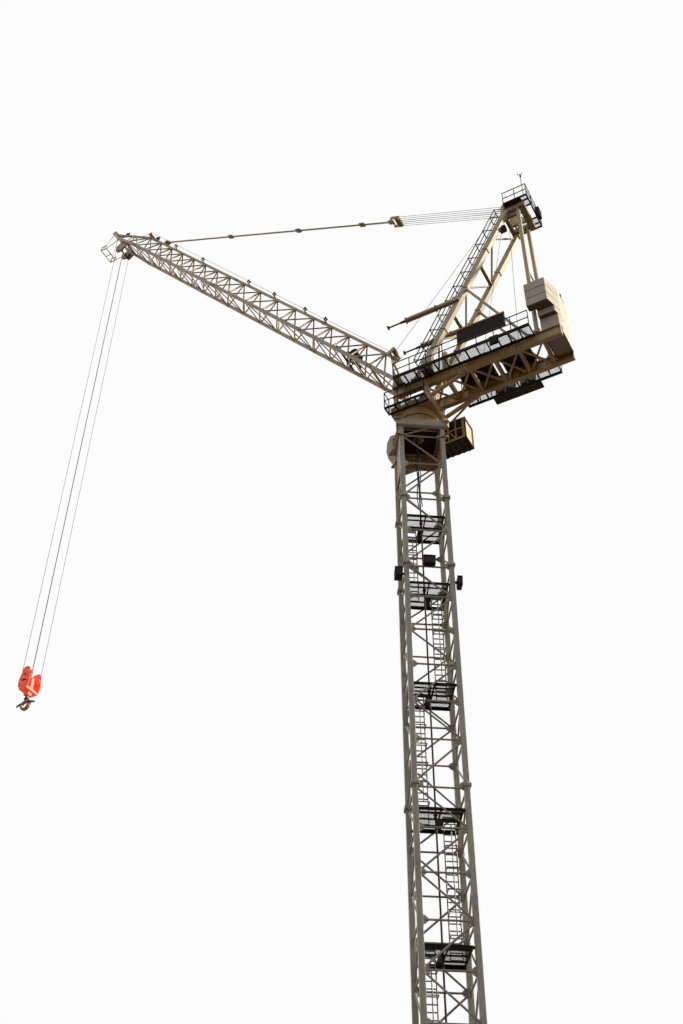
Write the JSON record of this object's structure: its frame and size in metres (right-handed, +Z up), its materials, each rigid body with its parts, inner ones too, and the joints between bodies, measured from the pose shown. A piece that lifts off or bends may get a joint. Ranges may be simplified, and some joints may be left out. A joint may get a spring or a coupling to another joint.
{
  "type": "luffing tower crane, 1:10 scale model",
  "caption": "Luffing tower crane on a tall square lattice mast, with a raised lattice jib, an A-frame, a short counterjib with weights, a side cab and a hanging hook.",
  "frame": {"origin": "on the mast's axis at the underside of the base frame, ground level", "axes": "+Z up the mast, +X the way the jib points, +Y to the left of the jib"},
  "size_m": [3.3926, 0.4684, 8.0964],
  "materials": {
    "cream_paint": "aged gloss paint",
    "dark_paint": "dull paint",
    "bare_steel": "greased",
    "wire_rope": "greased wire",
    "rubber": "matt",
    "glass": "clear tinted",
    "fabric": "woven",
    "weight_paint": "painted, rusty joints",
    "hook_paint": "day-glow paint"
  },
  "bodies": {
    "mast": {"base_frame": "cream_paint", "mast_foot": "cream_paint", "mast_section_1": "cream_paint", "mast_section_2": "cream_paint", "mast_section_3": "cream_paint", "mast_short_section": "cream_paint", "mast_head": "cream_paint", "mast_ladders": "bare_steel", "mast_landings": "dark_paint", "power_cable": "rubber", "mast_lamps": "bare_steel"},
    "upper": {"slew_ring": "bare_steel", "turntable": "cream_paint", "slew_drives": "bare_steel", "service_platform": "dark_paint", "counterjib_girders": "cream_paint", "walkway_left": "dark_paint", "walkway_right": "dark_paint", "hoist_winch": "dark_paint", "luffing_winch": "dark_paint", "control_cabinets": "cream_paint", "name_board": "dark_paint", "counterweights": "weight_paint", "frame_legs": "cream_paint", "frame_ties": "cream_paint", "frame_head": "cream_paint", "head_platform": "dark_paint", "frame_ladder": "dark_paint", "backstops": "cream_paint", "cab_shell": "cream_paint", "cab_glass": "glass", "cab_seat": "fabric", "luffing_ropes": "wire_rope", "lead_rope": "wire_rope", "winch_ropes": "wire_rope"},
    "jib": {"jib_foot": "cream_paint", "jib_section_1": "cream_paint", "jib_section_2": "cream_paint", "jib_section_3": "cream_paint", "jib_tip": "cream_paint", "jib_winch": "dark_paint", "jib_rope": "wire_rope", "pendant_bars": "cream_paint", "luffing_block": "cream_paint"},
    "falls": {"tip_sheaves": "bare_steel", "fall_ropes": "wire_rope"},
    "hook_block": {"hook_block": "hook_paint"},
    "hook": {"hook": "bare_steel"}
  },
  "joints": [
    {"name": "slew", "type": "hinge", "parent": "mast", "child": "upper", "pos_m": [0, 0, 4.73], "axis": [0, 0, 1], "continuous": true},
    {"name": "luff", "type": "hinge", "parent": "upper", "child": "jib", "pos_m": [0.058, 0, 5.01], "axis": [0, -1, 0], "range_deg": [-36, 30.5], "deforming": ["luffing_ropes", "lead_rope"]},
    {"name": "fall_swing", "type": "hinge", "parent": "jib", "child": "falls", "pos_m": [2.36555, 0, 7.79913], "axis": [0, -1, 0], "range_deg": [-31, 36.5]},
    {"name": "hoist", "type": "slide", "parent": "falls", "child": "hook_block", "axis": [0, 0, 1], "range_m": [-1.6, 3.4], "deforming": ["fall_ropes"]},
    {"name": "hook_swivel", "type": "hinge", "parent": "hook_block", "child": "hook", "pos_m": [2.36555, 0, 3.75913], "axis": [0, 0, 1], "continuous": true}
  ],
  "couplings": [
    {"joint": "fall_swing", "follows": "luff", "ratio": -1}
  ]
}
